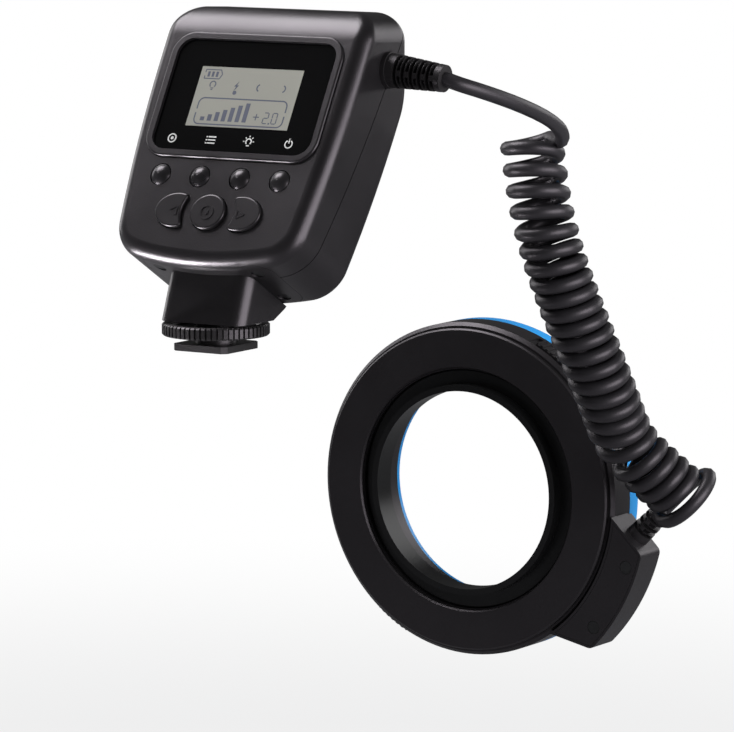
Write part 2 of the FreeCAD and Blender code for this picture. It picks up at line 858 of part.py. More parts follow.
def lock_wheel():
    points = []
    for index in range(wheel_teeth):
        step = 2 * math.pi / wheel_teeth
        for share, radius in ((0.0, wheel_radius), (tooth_share, wheel_radius),
                              (tooth_share + 0.1, wheel_radius - tooth_depth),
                              (0.9, wheel_radius - tooth_depth)):
            angle = step * (index + share)
            points.append(Vector(radius * math.cos(angle), radius * math.sin(angle), wheel_bottom))
    blank = Part.Face(Part.makePolygon(points + points[:1])).extrude(Vector(0, 0, wheel_height))
    low = wheel_bottom
    high = wheel_bottom + wheel_height
    inner = wheel_radius - wheel_rim
    section = [(stem_radius + running_gap, low), (wheel_radius - wheel_bevel, low),
               (wheel_radius, low + wheel_bevel),
               (wheel_radius, high - wheel_bevel), (wheel_radius - wheel_bevel, high), (inner, high),
               (inner - 0.6, high - wheel_dish), (wheel_hub, high - wheel_dish), (wheel_hub, high - 0.3),
               (stem_radius + running_gap, high - 0.3)]
    corners = [Vector(radius, 0, z) for radius, z in section]
    face = Part.Face(Part.makePolygon(corners + corners[:1]))
    turned = face.revolve(Vector(0, 0, 0), Vector(0, 0, 1), 360)
    return blank.common(turned)


# Strain relief: a tapered sleeve with staggered slots, on its own axis
def slotted_sleeve(base_radius, tip_radius, length, slots, first):
    sleeve = Part.makeCone(base_radius, tip_radius, length)
    pitch = (length - 2 * first) / (slots - 0.5)
    for index in range(slots):
        for half in (0, 1):
            z = first + pitch * (index + 0.5 * half)
            ring = Part.makeCylinder(base_radius + 1, slot_width, Vector(0, 0, z))
            radius = base_radius + (tip_radius - base_radius) * z / length
            ring = ring.cut(Part.makeCylinder(radius - slot_depth, slot_width, Vector(0, 0, z)))
            for side in (-1, 1):
                turn = 90 * half
                window = Part.makeBox(2 * base_radius + 2, 2 * base_radius, slot_width,
                                      Vector(-base_radius - 1, 0.8 if side > 0 else -0.8 - 2 * base_radius,
                                             z))
                window.rotate(Vector(0, 0, 0), Vector(0, 0, 1), turn)
                sleeve = sleeve.cut(ring.common(window))
    return sleeve


def grommet_axis():
    root = panel_place.multVec(Vector(half_width, grommet_v, -grommet_w))
    droop = math.radians(grommet_droop)
    return root, Vector(math.cos(droop), 0, -math.sin(droop))


def grommet():
    root, along = grommet_axis()
    across = Vector(1, 0, 0)
    pivot = root + across * (grommet_collar / 2)
    sleeve = slotted_sleeve(grommet_base_radius, grommet_tip_radius, grommet_length, grommet_slots, 3.2)
    sleeve.Placement = Placement(pivot, Rotation(Vector(0, 0, 1), along))
    collar = Part.makeCylinder(grommet_base_radius + 0.3, grommet_collar, root, across)
    neck_part = Part.makeCylinder(grommet_neck_radius, wall + 0.4, root - across * (wall + 0.2), across)
    flange = Part.makeCylinder(grommet_flange_radius, 1.6, root - across * (wall + 1.8), across)
    return sleeve.fuse(collar).fuse(neck_part).fuse(flange).removeSplitter()


grommet_root, grommet_way = grommet_axis()
grommet_tip = grommet_root + Vector(grommet_collar / 2, 0, 0) + grommet_way * grommet_length


# Ring head helpers: profiles turned about the ring's axis, and sectors of a ring
def turned(section):
    corners = [Vector(radius, ring_back + y, -ring_drop) for radius, y in section]
    face = Part.Face(Part.makePolygon(corners + corners[:1]))
    return face.revolve(ring_centre, Vector(0, 1, 0), 360)


def polar(radius, angle, y):
    turned_angle = math.radians(angle)
    return Vector(radius * math.cos(turned_angle), ring_back + y,
                  -ring_drop + radius * math.sin(turned_angle))


def sector(inner, outer, first, last, near, far):
    middle = (first + last) / 2
    wire = Part.Wire([
        Part.Arc(polar(inner, first, near), polar(inner, middle, near), polar(inner, last, near)).toShape(),
        Part.makeLine(polar(inner, last, near), polar(outer, last, near)),
        Part.Arc(polar(outer, last, near), polar(outer, middle, near), polar(outer, first, near)).toShape(),
        Part.makeLine(polar(outer, first, near), polar(inner, first, near)),
    ])
    return Part.Face(wire).extrude(Vector(0, far - near, 0))


def barrel(radius, near, far):
    return Part.makeCylinder(radius, far - near, ring_centre + Vector(0, near, 0), Vector(0, 1, 0))


def back_plate():
    edge = 0.5
    return turned([(back_plate_bore + edge, 0), (back_plate_radius - edge, 0), (back_plate_radius, edge),
                   (back_plate_radius, back_plate_thickness), (back_plate_bore, back_plate_thickness),
                   (back_plate_bore, edge)])


seat_front = back_plate_thickness + adapter_seat_depth


def ring_housing():
    back = back_plate_thickness
    outer = turned([(ring_radius - ring_wall, back + 1.2), (ring_radius - ring_wall - 2.5, back + 1.2),
                    (ring_radius - ring_wall - 2.5, back), (ring_radius - ring_bevel, back),
                    (ring_radius, back + ring_bevel), (ring_radius, housing_front),
                    (ring_radius - ring_wall, housing_front)])
    inner_low = adapter_seat_radius + inner_wall
    nose = light_bore_radius + inner_wall
    inner = turned([(adapter_seat_radius, back), (inner_low, back), (inner_low, seat_front - 1.6),
                    (nose, seat_front), (nose, nose_front), (light_bore_radius, nose_front),
                    (light_bore_radius, seat_front - 1.6), (adapter_seat_radius, seat_front - 1.6)])
    housing = outer.fuse(inner)
    shelf_back = latch_back + latch_thickness + loose_gap
    for angle in (0, 60, 120, 180, 240, 300):
        rib = sector(inner_low - 0.3, ring_radius - ring_wall + 0.3, angle + box_angle + 28.5,
                     angle + box_angle + 31.5, shelf_back, lamp_board_back - running_gap)
        housing = housing.fuse(rib)
    for angle in (latch_angle, latch_angle + 180):
        cut = sector(ring_radius - 5, ring_radius + 3, angle - latch_half_angle - 0.6,
                     angle + latch_half_angle + 0.6,
                     latch_back - loose_gap, latch_cap_front + loose_gap)
        housing = housing.cut(cut)
        dent = sector(ring_radius - 0.7, ring_radius + 3, angle - latch_half_angle - 3.0,
                      angle + latch_half_angle + 3.0, latch_back - 1.0, latch_cap_front + 1.0)
        housing = housing.cut(dent)
        slot_middle = angle - tongue_shift
        slot = sector(adapter_seat_radius - 2, inner_low + 2, slot_middle - tongue_half_angle - 1.0,
                      slot_middle + tongue_half_angle + 1.0, latch_back - loose_gap,
                      latch_back + latch_thickness + loose_gap)
        housing = housing.cut(slot)
    return housing.cut(wire_way()).removeSplitter()


def latch(angle):
    near = latch_back
    far = latch_back + latch_thickness
    arm_outer = latch_arm_radius + latch_arm_width
    end = angle + 180 - tongue_shift
    arm = sector(latch_arm_radius, arm_outer, angle - latch_half_angle, end + tongue_half_angle, near, far)
    stem = sector(arm_outer - 0.2, ring_radius - ring_wall + 0.4, angle - latch_half_angle,
                  angle + latch_half_angle,
                  near, far)
    cap = sector(ring_radius - ring_wall + 0.2, ring_radius + latch_cap_proud, angle - latch_half_angle,
                 angle + latch_half_angle, near, latch_cap_front)
    tip = adapter_seat_radius - adapter_gap - adapter_groove_depth + loose_gap
    tongue = sector(tip, latch_arm_radius + 0.2, end - tongue_half_angle, end + tongue_half_angle, near, far)
    plate = arm.fuse(stem).fuse(cap).fuse(tongue).removeSplitter()
    step = 2 * latch_half_angle / latch_ribs
    for index in range(latch_ribs):
        first = angle - latch_half_angle + step * (index + 0.25)
        groove = sector(ring_radius + latch_cap_proud - 0.45, ring_radius + latch_cap_proud + 1, first,
                        first + step * 0.5, near - 1, latch_cap_front + 1)
        plate = plate.cut(groove)
    return plate


def latch_spring(angle):
    inward = latch_arm_radius - adapter_seat_radius - inner_wall
    place = polar(adapter_seat_radius + inner_wall, angle, latch_back + latch_thickness / 2)
    outward = polar(adapter_seat_radius + inner_wall + 1, angle, latch_back + latch_thickness / 2) - place
    return Part.makeCylinder(0.55, inward, place, outward)


def adapter_ring():
    back = adapter_flange_back
    rim = adapter_seat_radius - adapter_gap
    front = seat_front - 1.6 - adapter_gap
    middle = latch_back + latch_thickness / 2
    groove = rim - adapter_groove_depth
    half = adapter_groove_half
    thread_back = back - adapter_thread_length
    return turned([(adapter_bore_radius, thread_back), (adapter_thread_radius, thread_back),
                   (adapter_thread_radius, back), (rim - 0.3, back), (rim, back + 0.15),
                   (rim, middle - half), (groove, middle - half + 0.25), (groove, middle + half - 0.25),
                   (rim, middle + half), (rim, front),
                   (adapter_bore_radius, front)])


split_angles = (box_angle, box_angle + 180)


def lamp_board(side):
    first = split_angles[0] + lamp_half_gap if side > 0 else split_angles[1] + lamp_half_gap
    last = first + 180 - 2 * lamp_half_gap
    return sector(lamp_board_inner, lamp_board_outer, first, last, lamp_board_back,
                  lamp_board_back + lamp_board_thickness)


def lamps(side):
    first = split_angles[0] if side > 0 else split_angles[1]
    start = lamp_board_back + lamp_board_thickness
    solids = []
    usable = 180 - 4 * lamp_half_gap
    for index in range(lamps_per_half):
        angle = first + 2 * lamp_half_gap + usable * (index + 0.5) / lamps_per_half
        lamp = Part.makeBox(lamp_size, lamp_height, lamp_size, Vector(-lamp_size / 2, 0, -lamp_size / 2))
        lamp.rotate(Vector(0, 0, 0), Vector(0, 1, 0), -angle)
        lamp.translate(polar(lamp_ring_radius, angle, start))
        solids.append(lamp)
    return Part.makeCompound(solids)


def reflector():
    low = lamp_board_back + lamp_board_thickness + running_gap
    high = window_front - front_window_thickness - running_gap
    inner_foot = lamp_ring_radius - lamp_size * 0.75 - 0.6
    outer_foot = lamp_ring_radius + lamp_size * 0.75 + 0.6
    inner_top = light_bore_radius + inner_wall + running_gap
    outer_top = ring_radius - ring_wall - 1.9
    thick = reflector_thickness
    inner = turned([(inner_foot, low), (inner_foot, low + thick), (inner_top + thick, high),
                    (inner_top, high),
                    (inner_foot - 1.5, low)])
    outer = turned([(outer_foot, low), (outer_foot, low + thick), (outer_top - thick, high),
                    (outer_top, high),
                    (outer_foot + 1.5, low)])
    return Part.makeCompound([inner, outer])


def front_window():
    rim = ring_radius - ring_wall - running_gap
    bore = light_bore_radius + inner_wall + running_gap
    skirt = 1.4
    plate_back = window_front - front_window_thickness
    return turned([(bore, plate_back), (rim - skirt, plate_back), (rim - skirt, housing_front - 2.4),
                   (rim, housing_front - 2.4), (rim, window_front - 0.8), (rim - 0.8, window_front),
                   (bore, window_front)])


def diffuser():
    inside = window_front + running_gap
    skirt_inner = ring_radius - ring_wall + diffuser_gap - running_gap
    bore = light_bore_radius + 0.4
    curve = diffuser_round
    section = [(bore, inside), (skirt_inner, inside), (skirt_inner, housing_front + running_gap),
               (ring_radius, housing_front + running_gap), (ring_radius, diffuser_front - curve)]
    for step in range(1, 4):
        angle = math.radians(30 * step)
        section.append((ring_radius - curve + curve * math.cos(angle),
                        diffuser_front - curve + curve * math.sin(angle)))
    section.append((bore, diffuser_front))
    return turned(section)


# Junction box on the ring's rim
def box_corners():
    upper_in = polar(box_foot_radius, box_angle + box_half_angle_inner, 0)
    upper_out = polar(box_radius, box_angle + box_half_angle_outer, 0)
    lower_out = polar(box_radius, box_angle - box_half_angle_outer, 0)
    lower_in = polar(box_foot_radius, box_angle - box_half_angle_inner, 0)
    return upper_in, upper_out, lower_out, lower_in


def box_prism(inset, near, far):
    upper_in, upper_out, lower_out, lower_in = box_corners()
    upper_in = upper_in + (upper_in - upper_out).normalize() * (box_foot_reach + cut_past)
    lower_in = lower_in + (lower_in - lower_out).normalize() * (box_foot_reach + cut_past)
    wire = Part.Wire([Part.makeLine(upper_in, upper_out),
                      Part.Arc(upper_out, polar(box_radius, box_angle, 0), lower_out).toShape(),
                      Part.makeLine(lower_out, lower_in), Part.makeLine(lower_in, upper_in)])
    face = Part.Face(wire)
    if inset > 0:
        face = face.makeOffset2D(-inset)
    face.translate(Vector(0, near, 0))
    return face.extrude(Vector(0, far - near, 0))


def wire_way():
    return sector(ring_radius - ring_wall - wire_way_inset, ring_radius + box_wall + 1,
                  box_angle - wire_way_half_angle, box_angle + wire_way_half_angle,
                  back_plate_thickness + wire_way_inset, housing_front - wire_way_inset)


def junction_box():
    body = box_prism(0, box_back, box_front)
    long_edges = sharp_edges(body, lambda point: True)
    outer_uprights = [edge for edge in long_edges if abs(edge.tangentAt(edge.FirstParameter).y) > 0.9
                      and (edge.CenterOfMass - ring_centre).Length > box_radius - box_reach / 2]
    body = body.makeFillet(box_corner, outer_uprights)
    front_edges = sharp_edges(body, lambda point: point.y > ring_back + box_front - 0.01
                              and math.hypot(point.x, point.z + ring_drop) > ring_radius - 1.0)
    body = body.makeFillet(box_round, front_edges)
    body = body.cut(barrel(ring_radius + 0.02, -cut_past, housing_front + 0.05))
    body = body.cut(barrel(ring_radius + diffuser_gap, housing_front - 1, box_front + cut_past))
    cavity = box_prism(box_wall, box_back + box_cover_thickness, box_front - box_wall)
    cavity = cavity.cut(barrel(ring_radius + box_wall, -cut_past, box_front + cut_past))
    body = body.cut(cavity)
    cover_seat = box_prism(box_wall / 2 - seam, box_back - 1, box_back + box_cover_thickness)
    cover_seat = cover_seat.cut(barrel(ring_radius + box_wall / 2 - seam, -cut_past, box_front + cut_past))
    body = body.cut(cover_seat)
    for angle in box_screw_angles():
        place = polar(box_screw_radius, angle, box_back + box_cover_thickness)
        pillar = Part.makeCylinder(screw_radius + boss_wall,
                                   box_front - box_cover_thickness - box_back - 0.5, place,
                                   Vector(0, 1, 0))
        body = body.fuse(pillar)
        body = body.cut(Part.makeCylinder(screw_radius + seam, screw_length + 0.5, place, Vector(0, 1, 0)))
    body = body.cut(wire_way())
    hole_place, direction = relief_seat()
    hole = Part.makeCylinder(relief_base_radius - relief_tenon + seam, 2 * cut_past,
                             hole_place - direction * cut_past, direction)
    return body.cut(hole).removeSplitter()


def box_screw_angles():
    return (box_angle - box_screw_spread, box_angle + box_screw_spread)


def box_cover():
    plate = box_prism(box_wall / 2, box_back, box_back + box_cover_thickness)
    plate = plate.cut(barrel(ring_radius + box_wall / 2, -cut_past, box_front + cut_past))
    for angle in box_screw_angles():
        place = polar(box_screw_radius, angle, box_back - 1)
        plate = plate.cut(Part.makeCylinder(screw_radius + seam, cut_past, place, Vector(0, 1, 0)))
        plate = plate.cut(Part.makeCylinder(screw_head_radius + seam, 1 + screw_head_height, place,
                                            Vector(0, 1, 0)))
    return plate.removeSplitter()


def box_screws():
    solids = []
    for angle in box_screw_angles():
        place = polar(box_screw_radius, angle, box_back + 0.1)
        head = Part.makeCylinder(screw_head_radius, screw_head_height - 0.1, place, Vector(0, 1, 0))
        shaft = Part.makeCylinder(screw_radius, screw_length, place, Vector(0, 1, 0))
        solids.append(head.fuse(shaft).removeSplitter())
    return Part.makeCompound(solids)


def driver_board():
    near = box_back + box_cover_thickness + driver_lift
    top = near + driver_thickness
    inner = ring_radius + box_wall + loose_gap
    outer = box_radius - box_screw_inset - screw_radius - boss_wall
    plate = sector(inner, outer, box_angle - driver_half_angle, box_angle + driver_half_angle, near, top)
    middle = (inner + outer) / 2
    choke = Part.makeCylinder(driver_choke_radius, driver_choke_height,
                              polar(middle, box_angle - driver_part_angle, top),
                              Vector(0, 1, 0))
    store = Part.makeCylinder(driver_store_radius, driver_store_height,
                              polar(middle, box_angle + driver_part_angle, top),
                              Vector(0, 1, 0))
    return plate.fuse(choke).fuse(store).removeSplitter()


def relief_seat():
    upper_in, upper_out, lower_out, lower_in = box_corners()
    along = (upper_out - upper_in).normalize()
    outward = Vector(-along.z, 0, along.x)
    middle = (upper_in + upper_out) * 0.5 + Vector(0, (box_back + box_front) / 2, 0)
    return middle, outward


def box_relief():
    sleeve = slotted_sleeve(relief_base_radius, relief_tip_radius, relief_length, relief_slots, 2.6)
    tenon_radius = relief_base_radius - relief_tenon
    root = Part.makeCylinder(tenon_radius, box_wall + 2 * running_gap,
                             Vector(0, 0, -box_wall - 2 * running_gap))
    flange = Part.makeCylinder(relief_base_radius - loose_gap, relief_flange_thickness,
                               Vector(0, 0, -box_wall - running_gap - relief_flange_thickness))
    solid = sleeve.fuse(root).fuse(flange).removeSplitter()
    seat, outward = relief_seat()
    spin = Rotation(Vector(0, 0, 1), outward)
    solid.Placement = Placement(seat, spin)
    return solid


relief_place, relief_direction = relief_seat()
relief_tip = relief_place + relief_direction * relief_length


# Curly cord. The tail's points are chosen by hand, and so are the poles of the
# line that the coil's turns are wound about
tail_points = [Vector(54.63, 37.94, 78.23),
               Vector(64.96, 37.94, 77.24), Vector(74.5, 46.0, 71.6), Vector(74.5, 61.5, 65.8),
               Vector(67.0, 80.0, 63.6), Vector(58.0, 95.8, 60.2)]
coil_poles = [Vector(48.9, 97.5, 57.4), Vector(52.5, 94.8, 40.0), Vector(56.6, 96.2, 22.5),
              Vector(60.5, 101.2, 5.8),
              Vector(63.8, 107.1, -9.0), Vector(65.6, 114.4, -22.5), Vector(65.9, 124.2, -35.8),
              Vector(72.8, 130.6, -43.8), Vector(81.4, 140.0, -54.6)]
coil_first_phase = -40.0
coil_last_phase = -90.0
widest_turns = 0.45
widening_turns = 0.6
steps_per_turn = 16
spine_samples = 600
exit_run = 9.0


def tangent_arc_path(points):
    edges = []
    radii = []
    start = points[0]
    for index in range(1, len(points) - 1):
        before = points[index] - points[index - 1]
        after = points[index + 1] - points[index]
        turn = before.getAngle(after)
        radius = 0.45 * min(before.Length, after.Length) / math.tan(turn / 2)
        reach = radius * math.tan(turn / 2)
        first = points[index] - before.normalize() * reach
        last = points[index] + after.normalize() * reach
        inward = (after - before).normalize()
        centre = points[index] + inward * (radius / math.cos(turn / 2))
        middle = centre - inward * radius
        edges.append(Part.makeLine(start, first))
        edges.append(Part.Arc(first, middle, last).toShape())
        radii.append(radius)
        start = last
    edges.append(Part.makeLine(start, points[-1]))
    return Part.Wire(edges), radii


def tube(path, radius):
    start = path.Edges[0]
    place = start.valueAt(start.FirstParameter)
    along = start.tangentAt(start.FirstParameter)
    ring = Part.Wire(Part.makeCircle(radius, place, along))
    shell = Part.BRepOffsetAPI.MakePipeShell(path)
    shell.add(ring)
    shell.build()
    shell.makeSolid()
    return shell.shape()


def arc_from(start, tangent, end):
    chord = end - start
    along = Vector(chord).normalize()
    bend = tangent.getAngle(along)
    side = tangent - along * tangent.dot(along)
    if side.Length < 1e-9:
        return Part.makeLine(start, end)
    side.normalize()
    middle = (start + end) * 0.5 + side * (chord.Length / 2 * math.tan(bend / 2))
    return Part.Arc(start, middle, end).toShape()


def biarc(start, tangent_in, end, tangent_out):
    chord = end - start
    both = tangent_in + tangent_out
    spread = 2 * (1 - tangent_in.dot(tangent_out))
    lead = chord.dot(both)
    if spread < 1e-9:
        reach = chord.dot(chord) / (4 * chord.dot(tangent_out))
    else:
        reach = (-lead + math.sqrt(lead ** 2 + spread * chord.dot(chord))) / spread
    joint = (start + end + (tangent_in - tangent_out) * reach) * 0.5
    return [arc_from(start, tangent_in, joint), reverse_arc(end, tangent_out * -1, joint)]


def reverse_arc(start, tangent, end):
    chord = end - start
    along = Vector(chord).normalize()
    bend = tangent.getAngle(along)
    side = tangent - along * tangent.dot(along)
    if side.Length < 1e-9:
        return Part.makeLine(end, start)
    side.normalize()
    middle = (start + end) * 0.5 + side * (chord.Length / 2 * math.tan(bend / 2))
    return Part.Arc(end, middle, start).toShape()


def coil_spine(samples):
    curve = Part.BSplineCurve()
    curve.buildFromPoles(coil_poles, False, 2)
    total = curve.length()
    normal = Vector(1, 0, 0)
    turned_by = 0.0
    places = []
    for index in range(samples + 1):
        distance = total * index / samples
        parameter = curve.parameterAtDistance(distance, curve.FirstParameter)
        axis = Vector(curve.tangent(parameter)[0]).normalize()
        normal = (normal - axis * normal.dot(axis)).normalize()
        places.append((turned_by, curve.value(parameter), axis, normal))
        pitch = open_pitch if turned_by < open_turns else coil_pitch
        crowding = 1 - (coil_radius + cord_radius) * curve.curvature(parameter)
        turned_by += total / samples / pitch * max(crowding, 0.3)
    return places


def coil_points():
    places = coil_spine(spine_samples)
    spare = (coil_first_phase - coil_last_phase) / 360
    turns = math.floor(places[-1][0] - spare) + spare
    stretch = places[-1][0] / turns
    count = int(round(turns * steps_per_turn))
    result = []
    below = 0
    for index in range(count + 1):
        turned_by = turns * index / count
        while below < spine_samples - 1 and places[below + 1][0] < turned_by * stretch:
            below += 1
        first = places[below]
        second = places[below + 1]
        share = (turned_by * stretch - first[0]) / (second[0] - first[0])
        point = first[1] + (second[1] - first[1]) * share
        axis = (first[2] + (second[2] - first[2]) * share).normalize()
        normal = (first[3] + (second[3] - first[3]) * share).normalize()
        side = axis.cross(normal)
        angle = math.radians(coil_first_phase - 360 * turned_by)
        widening = min(1.0, max(0.0, 1 - (turns - turned_by - widest_turns) / widening_turns))
        radius = coil_radius + (last_turn_radius - coil_radius) * (3 - 2 * widening) * widening ** 2
        result.append(point + normal * (radius * math.cos(angle)) + side * (radius * math.sin(angle)))
    return result


def tangent_at(points, index):
    before = points[max(index - 1, 0)]
    after = points[min(index + 1, len(points) - 1)]
    return (after - before).normalize()


def coil_wire():
    fine = coil_points()
    step = steps_per_turn // 4
    chosen = range(step // 2, len(fine) - step // 2, step)
    knots = [(fine[index], tangent_at(fine, index)) for index in chosen]
    tail_way = (tail_points[-1] - tail_points[-2]).normalize()
    start = tail_points[-1]
    stub = start + tail_way * (2 * cord_radius)
    finish = Vector(relief_tip)
    finish_way = relief_direction * -1
    finish_stub = finish - finish_way * exit_run
    edges = [Part.makeLine(start, stub)]
    chain = [(stub, tail_way)] + knots + [(finish_stub, finish_way)]
    smallest = 1e9
    for first, second in zip(chain, chain[1:]):
        for arc in biarc(first[0], first[1], second[0], second[1]):
            edges.append(arc)
            if arc.Curve.TypeId == "Part::GeomCircle":
                smallest = min(smallest, arc.Curve.Radius)
    edges.append(Part.makeLine(finish_stub, finish))
    print("coil: turns", round((len(fine) - 1) / steps_per_turn, 2), "arcs", len(edges), "smallest radius",
          round(smallest, 2))
    return Part.Wire(edges)


def own_gap(wire, radius):
    points = []
    travelled = 0.0
    for edge in wire.Edges:
        count = max(2, int(edge.Length / 1.0))
        span = edge.LastParameter - edge.FirstParameter
        for index in range(count):
            points.append((travelled + edge.Length * index / count,
                           edge.valueAt(edge.FirstParameter + span * index / count)))
        travelled += edge.Length
    least = 1e9
    for first in range(len(points)):
        for second in range(first + 1, min(len(points), first + 110)):
            if points[second][0] - points[first][0] > 12:
                apart = (points[second][1] - points[first][1]).Length
                least = min(least, apart)
    return least - 2 * radius


def cord_tail():
    path, radii = tangent_arc_path(tail_points)
    solid = tube(path, cord_radius)
    expected = math.pi * cord_radius ** 2 * path.Length
    print("cord tail: radii", [round(radius, 1) for radius in radii], "volume share",
          round(solid.Volume / expected, 4))
    return solid


def cord_coil():
    wire = coil_wire()
    solid = tube(wire, cord_radius)
    expected = math.pi * cord_radius ** 2 * wire.Length
    print("cord coil: length", round(wire.Length, 1), "volume share", round(solid.Volume / expected, 4),
          "least gap to itself", round(own_gap(wire, cord_radius), 2))
    return solid


def all_pieces():
    pieces = {
        "shoe_foot": shoe_foot(),
        "shoe_contacts": contacts(),
        "clamp_washer": clamp_washer(),
        "lock_wheel": lock_wheel(),
        "neck_bracket": neck(),
        "neck_screws": neck_screws(),
        "front_shell": front_shell(),
        "back_shell": back_shell(),
        "shell_screws": shell_screws(),
        "battery_door": battery_door(),
        "battery_contacts": battery_contacts(),
        "display_window": display_window(),
        "display_module": display_module(),
        "main_board": main_board(),
        "board_parts": board_parts(),
        "keypad": keypad(),
        "cord_grommet": grommet(),
        "cord_tail": cord_tail(),
        "cord_coil": cord_coil(),
        "adapter_ring": adapter_ring(),
        "ring_back_plate": back_plate(),
        "ring_housing": ring_housing(),
        "reflector": reflector(),
        "front_window": front_window(),
        "blue_diffuser": diffuser(),
        "junction_box": junction_box(),
        "box_cover": box_cover(),
        "box_screws": box_screws(),
        "driver_board": driver_board(),
        "box_relief": box_relief(),
    }
    for index in range(cell_count):
        pieces["battery_" + str(index + 1)] = battery(index)
    for index, x in enumerate(round_button_x):
        pieces["round_button_" + str(index + 1)] = round_button(x)
    pieces["set_button"] = pressed_button(set_face, set_rise, 0.6)
    pieces["left_button"] = pressed_button(lambda grow: arrow_face(-1, grow), arrow_rise, 0.5)
    pieces["right_button"] = pressed_button(lambda grow: arrow_face(1, grow), arrow_rise, 0.5)
    for name, angle in (("upper", latch_angle), ("lower", latch_angle + 180)):
        pieces["latch_" + name] = latch(angle)
        pieces["latch_spring_" + name] = latch_spring(angle)
    for name, side in (("left", 1), ("right", -1)):
        pieces["lamp_board_" + name] = lamp_board(side)
        pieces["lamps_" + name] = lamps(side)
    return pieces


os.makedirs("parts", exist_ok=True)
for name, shape in all_pieces().items():
    if shape.isNull() or not shape.isValid():
        print("not valid:", name)
    shape.exportStep(os.path.join("parts", name + ".step"))
    print(name, "solids", len(shape.Solids), "volume", round(shape.Volume, 1))
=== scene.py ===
import math

import bmesh
import bpy
from mathutils import Matrix, Vector


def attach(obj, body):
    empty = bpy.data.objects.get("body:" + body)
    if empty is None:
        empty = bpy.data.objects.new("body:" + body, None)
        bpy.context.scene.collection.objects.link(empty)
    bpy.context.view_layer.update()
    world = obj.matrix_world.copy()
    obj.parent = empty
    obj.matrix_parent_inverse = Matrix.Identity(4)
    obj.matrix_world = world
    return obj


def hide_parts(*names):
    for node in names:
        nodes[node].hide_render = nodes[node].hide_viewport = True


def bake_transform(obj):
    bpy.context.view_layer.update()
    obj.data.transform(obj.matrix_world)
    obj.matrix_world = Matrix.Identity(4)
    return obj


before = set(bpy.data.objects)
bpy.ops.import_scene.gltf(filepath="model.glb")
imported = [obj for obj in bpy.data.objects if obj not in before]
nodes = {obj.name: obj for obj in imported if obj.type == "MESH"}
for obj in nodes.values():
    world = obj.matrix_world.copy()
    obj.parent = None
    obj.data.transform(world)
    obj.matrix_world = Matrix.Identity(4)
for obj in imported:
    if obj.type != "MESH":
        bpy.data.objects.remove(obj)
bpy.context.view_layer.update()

# The view, from behind and to the right at eye level, with a long focal length. Large soft
# lamps stand above, on both sides and in front of the ring, and a small one lies low.
view_azimuth = math.radians(32.048)
view_rise = math.radians(7.603)
lens = bpy.data.cameras.new("view")
lens.sensor_width = 36
lens.lens = 243.75
lens.clip_end = 20
viewer = bpy.data.objects.new("view", lens)
viewer.location = (0.796053, -1.188999, 0.185923)
viewer.rotation_euler = (math.radians(90) - view_rise, 0, view_azimuth)
bpy.context.scene.collection.objects.link(viewer)
bpy.context.scene.camera = viewer
bpy.context.scene.view_settings.view_transform = "Standard"


def soft_lamp(name, place, aim, width, height, power):
    light = bpy.data.lights.new(name, "AREA")
    light.shape = "RECTANGLE"
    light.size = width
    light.size_y = height
    light.energy = power
    lamp = bpy.data.objects.new(name, light)
    lamp.location = place
    lamp.rotation_euler = (Vector(aim) - Vector(place)).to_track_quat("-Z", "Y").to_euler()
    bpy.context.scene.collection.objects.link(lamp)
    return lamp


middle = Vector((0.02, 0.06, 0.0))
housing_middle = Vector((0, 0.02, 0.05))
housing_brow = Vector((0, 0.03, 0.08))
housing_underside = Vector((-0.01, -0.03, 0.04))
soft_lamp("overhead_softbox", (-0.36, 0.0, 0.62), housing_brow, 0.40, 0.42, 5.0)
soft_lamp("right_softbox", (0.80, -0.06, 0.12), housing_middle, 0.85, 0.55, 8.0)
low_lamp = soft_lamp("low_softbox", (-0.16, -0.14, -0.14), housing_underside, 0.2, 0.08, 0.25)
low_lamp.data.spread = math.radians(40)
soft_lamp("left_softbox", (-0.8, 0.22, 0.25), middle, 0.3, 0.5, 1.5)
soft_lamp("back_softbox", (0.45, 1.3, 0.35), middle, 1.0, 0.6, 4.0)

# The surroundings are white to the camera and behind clear pieces, and give a dim even light.
surroundings = bpy.data.worlds.new("surroundings")
surroundings.use_nodes = True
bpy.context.scene.world = surroundings
tree = surroundings.node_tree
backdrop = tree.nodes["Background"]
path_kind = tree.nodes.new("ShaderNodeLightPath")
seen = tree.nodes.new("ShaderNodeMath")
seen.operation = "MAXIMUM"
tree.links.new(path_kind.outputs["Is Camera Ray"], seen.inputs[0])
tree.links.new(path_kind.outputs["Is Transmission Ray"], seen.inputs[1])
strength = tree.nodes.new("ShaderNodeMapRange")
strength.inputs["To Min"].default_value = 0.07
strength.inputs["To Max"].default_value = 1.0
tree.links.new(seen.outputs[0], strength.inputs["Value"])
tree.links.new(strength.outputs["Result"], backdrop.inputs["Strength"])
backdrop.inputs["Color"].default_value = (1, 1, 1, 1)

# A pale round floor, just below the ring. It fades to white with the distance, and keeps a
# soft shadow near the object.
floor_radius, floor_height = 3.0, -0.15
floor_form = bmesh.new()
bmesh.ops.create_circle(floor_form, cap_ends=True, segments=96, radius=floor_radius)
bmesh.ops.translate(floor_form, verts=floor_form.verts, vec=(0, 0, floor_height))
floor_mesh = bpy.data.meshes.new("floor")
floor_form.to_mesh(floor_mesh)
floor_form.free()
floor = bpy.data.objects.new("floor", floor_mesh)
bpy.context.scene.collection.objects.link(floor)
pale = bpy.data.materials.new("pale_floor")
pale.use_nodes = True
tree = pale.node_tree
shader = tree.nodes["Principled BSDF"]
shader.inputs["Base Color"].default_value = (0.25, 0.25, 0.26, 1)
shader.inputs["Roughness"].default_value = 0.8
place = tree.nodes.new("ShaderNodeTexCoord")
far_out = tree.nodes.new("ShaderNodeVectorMath")
far_out.operation = "LENGTH"
tree.links.new(place.outputs["Object"], far_out.inputs[0])
